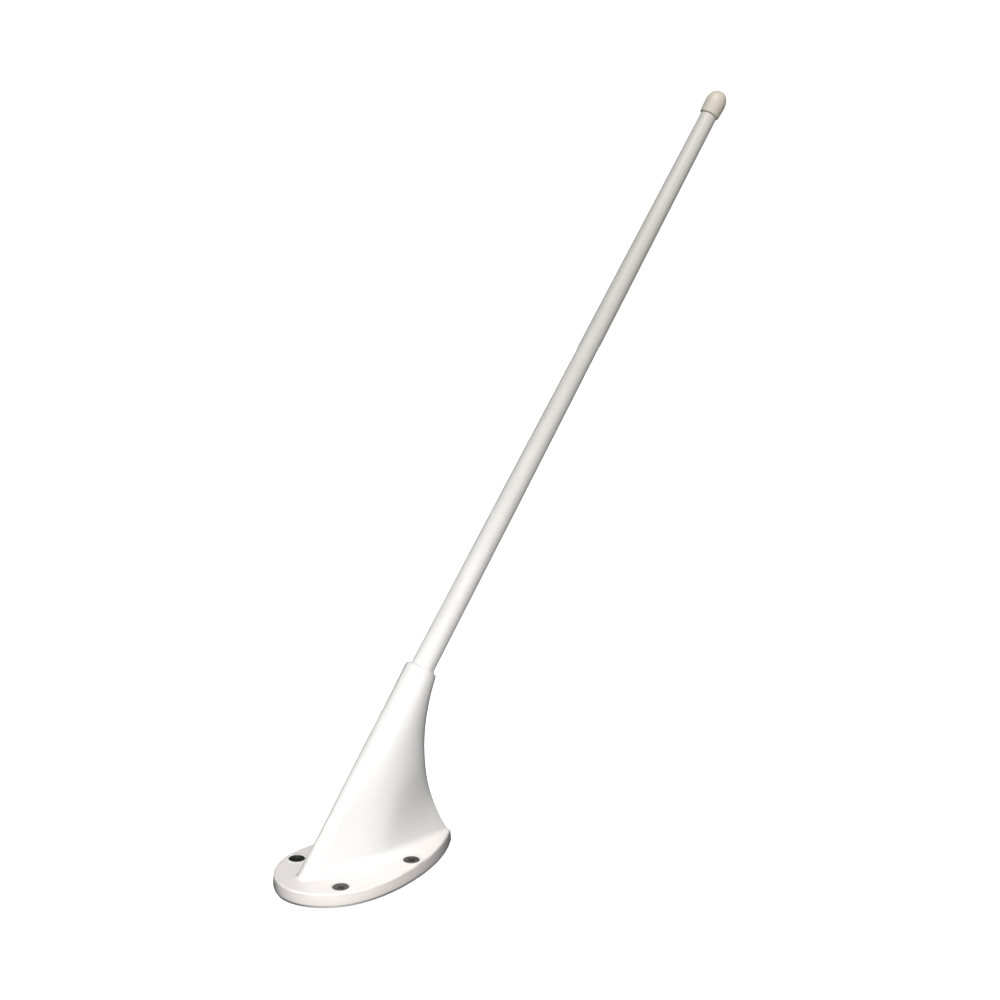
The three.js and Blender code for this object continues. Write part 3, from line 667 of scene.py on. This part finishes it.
def bush_hole(x, y):
    """A hole for a bush whose upper lip is rolled in."""
    lip = 0.45
    shank = BUSH_RADIUS + 0.1
    rim = BUSH_RIM_RADIUS + 0.07
    step = FLANGE_TOP - BUSH_RIM_HEIGHT
    profile = [(0, 0), (shank, 0), (shank, step), (rim, step + BUSH_CONE)]
    for turn in np.linspace(0, math.pi / 2, 7):
        height = FLANGE_TOP + LIP_HEIGHT - lip * (1 - math.sin(turn))
        profile.append((rim + lip * (1 - math.cos(turn)), height))
    profile += [(rim + lip, FLANGE_TOP + 14), (0, FLANGE_TOP + 14)]
    return placed(turned("bush_hole", profile), x, y)


def add_base_fairing():
    body = loft("fairing_shell", flange_rings() + fairing_rings())
    bore = cylinder("bore", FERRULE_BORE, -FERRULE_DEPTH, 5)
    lean(bore)
    pocket_radius, pocket_depth = 10, 7.8
    pocket = placed(cylinder("pocket", pocket_radius, 0, pocket_depth), JACK_X, 0)
    cutters = [cavity(), bore, pocket]
    cutters += [bush_hole(x, y) for x, y in MOUNTING_PLACES.values()]
    insert_radius, insert_depth = 2.2, 7.5
    for x, y in PLATE_SCREW_PLACES:
        hole = cylinder("insert_hole", insert_radius, 0, insert_depth, 32)
        cutters.append(placed(hole, x, y))
    combine(body, [paint_lip(x, y) for x, y in MOUNTING_PLACES.values()], "UNION")
    combine(body, cutters, "DIFFERENCE")
    finished(body, materials["gloss_white_paint"], "base_fairing", 35)


# ---------- plate, bushes and screws ----------


def add_base_plate():
    edge = 0.25
    rings = [
        teardrop(PLATE_INSET + edge, 0),
        teardrop(PLATE_INSET, edge),
        teardrop(PLATE_INSET, PLATE_THICKNESS - edge),
        teardrop(PLATE_INSET + edge, PLATE_THICKNESS),
    ]
    body = loft("mounting_plate", rings)
    below, above = -1, 3  # the cutters' ends
    cutters = []
    for x, y in MOUNTING_PLACES.values():
        cutters.append(placed(cylinder("screw_hole", BUSH_BORE, below, above, 48), x, y))
    head, shank = 2.6, 1.4
    sink = [(0, below), (head, below), (head, 0.2), (shank, 1.4), (shank, above), (0, above)]
    for x, y in PLATE_SCREW_PLACES:
        cutters.append(placed(turned("sink", sink, 48), x, y))
    jack_hole_radius = 4.85
    cutters.append(placed(cylinder("jack_hole", jack_hole_radius, below, above, 64), JACK_X, 0))
    combine(body, cutters, "DIFFERENCE")
    finished(body, materials["plate_aluminium"], "base_plate", 25)


def cross_recess(reach, width, depth):
    """A tapered cross, cut down from z = 0."""
    corners = []
    for quarter in range(4):
        cosine = math.cos(quarter * math.pi / 2)
        sine = math.sin(quarter * math.pi / 2)
        for x, y in ((reach, -width), (reach, width), (width, width)):
            corners.append((x * cosine - y * sine, x * sine + y * cosine))
    return prism("recess", corners, [(-depth, 0.5), (-depth * 0.7, 0.72), (0.3, 1.06)])


def countersunk(name, head, shank, length, recess):
    """A countersunk screw with its head's face at z = 0."""
    cone = head - shank
    chamfer, edge = 0.5, 0.25
    profile = [(0, -length), (shank - chamfer, -length), (shank, chamfer - length)]
    profile += [(shank, -cone - edge), (head, -edge), (head, 0), (0, 0)]
    screw = turned(name, rounded(profile, 0.12), 72)
    combine(screw, [cross_recess(head * 0.56, head * 0.17, recess)], "DIFFERENCE")
    return screw


def bush_profile():
    """A flanged metal bush with a seat for the screw's cone."""
    bottom = PLATE_THICKNESS + SEAT
    step = FLANGE_TOP - BUSH_RIM_HEIGHT
    seat_radius, seat_depth = 4.75, 0.45
    inside_seat = FLANGE_TOP - seat_depth - (seat_radius - BUSH_BORE)
    return [
        (BUSH_BORE, 4),
        (BUSH_BORE, bottom),
        (BUSH_RADIUS, bottom),
        (BUSH_RADIUS, step),
        (BUSH_RIM_RADIUS, step + BUSH_CONE),
        (BUSH_RIM_RADIUS, FLANGE_TOP),
        (seat_radius, FLANGE_TOP),
        (seat_radius, FLANGE_TOP - seat_depth),
        (BUSH_BORE, inside_seat),
        (BUSH_BORE, 4),
    ]


def add_mounting_hardware():
    sunk = 0.2  # the screws' heads, below the flange's top
    for place, (x, y) in MOUNTING_PLACES.items():
        bush = placed(turned(f"bush_{place}", rounded(bush_profile(), 0.12, 3)), x, y)
        finished(bush, materials["screw_steel"], f"mounting_bush_{place}")
        screw = countersunk(f"screw_{place}", head=4.55, shank=2.5, length=12, recess=2.4)
        screw.matrix_world = Matrix.Translation((x * MM, y * MM, (FLANGE_TOP - sunk) * MM))
        finished(screw, materials["screw_steel"], f"mounting_screw_{place}")


def add_plate_screws():
    for i, (x, y) in enumerate(PLATE_SCREW_PLACES, 1):
        screw = countersunk(f"plate_fixing_{i}", head=2.35, shank=1.25, length=6.5, recess=0.9)
        upside_down = Matrix.Rotation(math.pi, 4, "X")
        screw.matrix_world = Matrix.Translation((x * MM, y * MM, 0)) @ upside_down
        finished(screw, materials["screw_steel"], f"plate_screw_{i}")


# ---------- whip ----------


def whip_radius(z):
    return WHIP_ROOT_RADIUS - WHIP_TAPER * z


def add_whip():
    """A tapered tube with a narrower root inside the collar."""
    bore, root_radius, root_end = 4.5, 6.2, -42
    profile = [(bore, 0), (bore, root_end), (root_radius, root_end), (root_radius, -2)]
    profile.append((whip_radius(0) - 0.2, -1.2))
    profile += [(whip_radius(z), z) for z in np.linspace(-1, WHIP_TOP, 40)]
    profile += [(whip_radius(WHIP_TOP) - WHIP_WALL, WHIP_TOP), (bore, 60), (bore, 0)]
    tube = turned("whip_rod", profile, 128)
    lean(tube)
    finished(tube, materials["whip_paint"], "whip_tube")


def add_tip_cap():
    """A bullet-shaped cap with a rounded rim that stands a little proud of the whip."""
    inner = whip_radius(CAP_RIM) + 0.06
    edge = 0.7
    profile = [(0, CAP_RIM + CAP_BORE), (inner, CAP_RIM + CAP_BORE), (inner, CAP_RIM)]
    for turn in np.linspace(0, math.pi / 2, 6):
        radius = CAP_RIM_RADIUS - edge * (1 - math.sin(turn))
        profile.append((radius, CAP_RIM + edge * (1 - math.cos(turn))))
    shoulder = CAP_LENGTH / 2
    for t in np.linspace(0, 1, 12)[1:]:
        radius = CAP_RIM_RADIUS + (CAP_RADIUS - CAP_RIM_RADIUS) * math.sin(t * math.pi / 2)
        profile.append((radius, CAP_RIM + edge + (shoulder - edge) * t))
    fullness = 0.86
    for turn in np.linspace(0, math.pi / 2, 24)[1:]:
        height = CAP_RIM + shoulder + (CAP_LENGTH - shoulder) * math.sin(turn)
        profile.append((CAP_RADIUS * math.cos(turn) ** fullness, height))
    profile[-1] = (0, CAP_RIM + CAP_LENGTH)
    cap = turned("tip_cap_moulding", profile, 128)
    lean(cap)
    finished(cap, materials["cap_plastic"], "tip_cap", 50)


def add_seal():
    """A smoothed bead of sealant between the collar's rounded rim and the whip."""
    root, top, foot = whip_radius(0) + 0.02, 1.25, 8.8
    gap, feather = 0.02, 0.05
    wall = FERRULE_BORE - 0.05
    flat = COLLAR_RADIUS - COLLAR_RIM
    profile = [(root, 0), (root, -1), (wall, -1), (wall, gap)]
    for radius in np.linspace(flat, foot, 4):
        over_rim = math.sqrt(COLLAR_RIM**2 - (radius - flat) ** 2) - COLLAR_RIM
        profile.append((radius, over_rim + gap))
    low = profile[-1][1] + 0.03
    for t in np.linspace(0, 1, 8):
        radius = foot - (foot - root - feather) * t**0.8
        profile.append((radius, low + (top - feather - low) * t**2))
    profile += [(root, top), (root, 0)]
    bead = turned("seal_bead", profile, 96)
    lean(bead)
    finished(bead, materials["sealant"], "whip_seal", 60)


# ---------- jack ----------


def jack_barrel():
    """The jack's tube: the mating barrel, the threaded neck and the narrower rear."""
    bore, barrel_inner, barrel, thread, rear = 2.6, 4.1, 4.83, 4.7, 3.4
    floor, chamfer, shoulder, neck_top, rear_top = -5, (0.3, 0.5), JACK_NUT_TOP - 1.15, 8, 10
    profile = [
        (bore, 0),
        (bore, floor),
        (barrel_inner, floor),
        (barrel_inner, JACK_MOUTH),
        (barrel - chamfer[0], JACK_MOUTH),
        (barrel, JACK_MOUTH + chamfer[1]),
        (barrel, shoulder),
        (thread, shoulder),
        (thread, neck_top),
        (rear, neck_top),
        (rear, rear_top),
        (bore, rear_top),
        (bore, 0),
    ]
    return turned("jack_shell", rounded(profile, 0.15, 3))


def jack_hexagon():
    reach, height = 8.1, 2.3
    angles = [(k + 0.5) * math.pi / 3 for k in range(6)]
    corners = [(reach * math.cos(angle), reach * math.sin(angle)) for angle in angles]
    hexagon = prism("jack_hex", corners, [(JACK_NUT_TOP - height, 1), (JACK_NUT_TOP, 1)])
    bevel(hexagon, 0.25)
    combine(hexagon, [cylinder("jack_hex_bore", 4.4, -10, 2)], "DIFFERENCE")
    return hexagon


def bayonet_lug(side):
    """One of the two lugs that stand out of the barrel."""
    height, inner, outer = (JACK_MOUTH + 4.6) * MM, 4.4, 5.5
    lug = turned("lug", rounded([(0, inner), (1, inner), (1, outer), (0, outer)], 0.15), 32)
    aside = Matrix.Rotation(side * math.pi / 2, 4, "X")
    lug.matrix_world = Matrix.Translation((0, 0, height)) @ aside
    return lug


def add_jack_shell():
    shell = jack_barrel()
    combine(shell, [jack_hexagon(), bayonet_lug(-1), bayonet_lug(1)], "UNION")
    placed(shell, JACK_X, 0)
    finished(shell, materials["nickel_plate"], "connector_body", 35)


def add_jack_core():
    """The insulator between the shell and the contact."""
    inner, outer, low, high = 0.9, 2.45, JACK_MOUTH + 1, 9.5
    profile = [(inner, 0), (inner, low), (outer, low), (outer, high), (inner, high), (inner, 0)]
    core = placed(turned("jack_core", rounded(profile, 0.2, 3), 64), JACK_X, 0)
    finished(core, materials["ptfe"], "connector_insulator")


def add_jack_contact():
    """The socket contact, hollow at its mouth and at its solder cup."""
    front, rear, hollow, contact = JACK_MOUTH + 2.2, 12.8, 0.45, 0.75
    mouth_end, cup_end = front + 5, rear - 2.5
    profile = [(0, mouth_end), (hollow, mouth_end), (hollow, front), (contact, front)]
    profile += [(contact, rear), (hollow, rear), (hollow, cup_end), (0, cup_end)]
    pin = placed(turned("jack_socket", rounded(profile, 0.08, 3), 48), JACK_X, 0)
    finished(pin, materials["brass"], "connector_contact")


def add_jack_gasket():
    """The rubber ring between the hexagon and the mounting plate."""
    inner, outer, low, middle = 5, 7, JACK_NUT_TOP + SEAT, -0.2
    profile = [(inner, middle), (inner, low), (outer, low)]
    profile += [(outer, -SEAT), (inner, -SEAT), (inner, middle)]
    gasket = placed(turned("jack_gasket", rounded(profile, 0.12, 3), 96), JACK_X, 0)
    finished(gasket, materials["seal_rubber"], "connector_seal")


# ---------- stage, light and camera ----------

WARM_WHITE = (1.0, 0.99, 0.975)


def add_floor():
    """A plain pale floor just below the jack's mouth. It throws no light back at the object."""
    size, level = 4000, JACK_MOUTH - 0.1
    signs = ((-1, -1), (1, -1), (1, 1), (-1, 1))
    corners = [np.array([x * size, y * size, level]) for x, y in signs]
    floor = mesh_object("floor", corners, [(0, 1, 2, 3)])
    material = new_material("floor_white", (0.9, 0.9, 0.9), 0.9)
    shader = material.node_tree.nodes["Principled BSDF"]
    shader.inputs["Emission Color"].default_value = (1, 1, 1, 1)
    shader.inputs["Emission Strength"].default_value = 0.95
    floor.data.materials.append(material)
    floor.visible_diffuse = False
    floor.visible_glossy = False
    floor.visible_shadow = False


def add_world():
    """A studio that is bright on the camera's side and dark behind. Its background shows white."""
    world = bpy.data.worlds.new("studio")
    bpy.context.scene.world = world
    world.use_nodes = True
    nodes, links = world.node_tree.nodes, world.node_tree.links
    place = nodes.new("ShaderNodeTexCoord")
    toward = nodes.new("ShaderNodeVectorMath")
    toward.operation = "DOT_PRODUCT"
    toward.inputs[1].default_value = Vector((-0.41, -0.91, 0.05)).normalized()
    links.new(place.outputs["Generated"], toward.inputs[0])
    facing = nodes.new("ShaderNodeMath")
    facing.operation = "POWER"
    facing.inputs[1].default_value = 2
    links.new(ranged(world, toward.outputs["Value"], 0, 1, 0, 1), facing.inputs[0])
    glow = mixed(world, facing.outputs["Value"], (0.008, 0.02, 0.035), (1.0, 0.985, 0.965))
    studio = nodes["Background"]
    studio.inputs["Strength"].default_value = 0.8
    links.new(glow, studio.inputs["Color"])
    backdrop = nodes.new("ShaderNodeBackground")
    backdrop.inputs["Color"].default_value = (1, 1, 1, 1)
    backdrop.inputs["Strength"].default_value = 1.2
    ray = nodes.new("ShaderNodeLightPath")
    mix = nodes.new("ShaderNodeMixShader")
    links.new(ray.outputs["Is Camera Ray"], mix.inputs["Fac"])
    links.new(studio.outputs["Background"], mix.inputs[1])
    links.new(backdrop.outputs["Background"], mix.inputs[2])
    links.new(mix.outputs["Shader"], nodes["World Output"].inputs["Surface"])


def add_softbox(name, place, size, power, spread, color=(1, 1, 1)):
    """A square area light that faces the fairing. A narrow spread keeps it off the whip's tip."""
    light = bpy.data.lights.new(name, "AREA")
    light.size = size
    light.energy = power
    light.color = color
    light.spread = math.radians(spread)
    lamp = bpy.data.objects.new(name, light)
    bpy.context.scene.collection.objects.link(lamp)
    target = Vector((0, 0, 0.02))
    lamp.location = place
    lamp.rotation_euler = (target - Vector(place)).to_track_quat("-Z", "Y").to_euler()
    return lamp


def add_back_fill():
    """Soft light opposite the camera, for the far side. The camera and the gloss don't see it."""
    lamp = add_softbox("back_fill", (0.9, 1.35, 0.1), size=0.8, power=11, spread=180)
    lamp.visible_camera = False
    lamp.visible_glossy = False


def add_camera():
    azimuth, elevation = math.radians(-38.312), math.radians(16.175)
    place = (-0.6242, -0.9334, 0.5645)
    right = Vector((math.cos(azimuth), math.sin(azimuth), 0))
    level = Vector((math.sin(azimuth), -math.cos(azimuth), 0))
    back = level * math.cos(elevation) + Vector((0, 0, math.sin(elevation)))
    up = back.cross(right)
    lens = bpy.data.cameras.new("camera")
    lens.lens = 72
    lens.sensor_width = 36
    camera = bpy.data.objects.new("camera", lens)
    bpy.context.scene.collection.objects.link(camera)
    turn = Matrix((right, up, back)).transposed().to_4x4()
    camera.matrix_world = Matrix.Translation(place) @ turn
    bpy.context.scene.camera = camera


add_camera()
dress_carried_nodes()
add_base_fairing()
add_base_plate()
add_mounting_hardware()
add_plate_screws()
add_whip()
add_tip_cap()
add_seal()
add_jack_shell()
add_jack_core()
add_jack_contact()
add_jack_gasket()
add_floor()
add_world()
add_softbox("overhead", (-0.25, -0.43, 2.05), size=0.8, power=22, spread=180)
add_softbox("low_spot", (-0.78, -0.98, 0.48), size=0.2, power=0.27, spread=30, color=WARM_WHITE)
add_softbox("high_spot", (-0.58, -0.29, 1.15), size=0.2, power=0.14, spread=30, color=WARM_WHITE)
add_back_fill()
bpy.context.scene.view_settings.view_transform = "Standard"
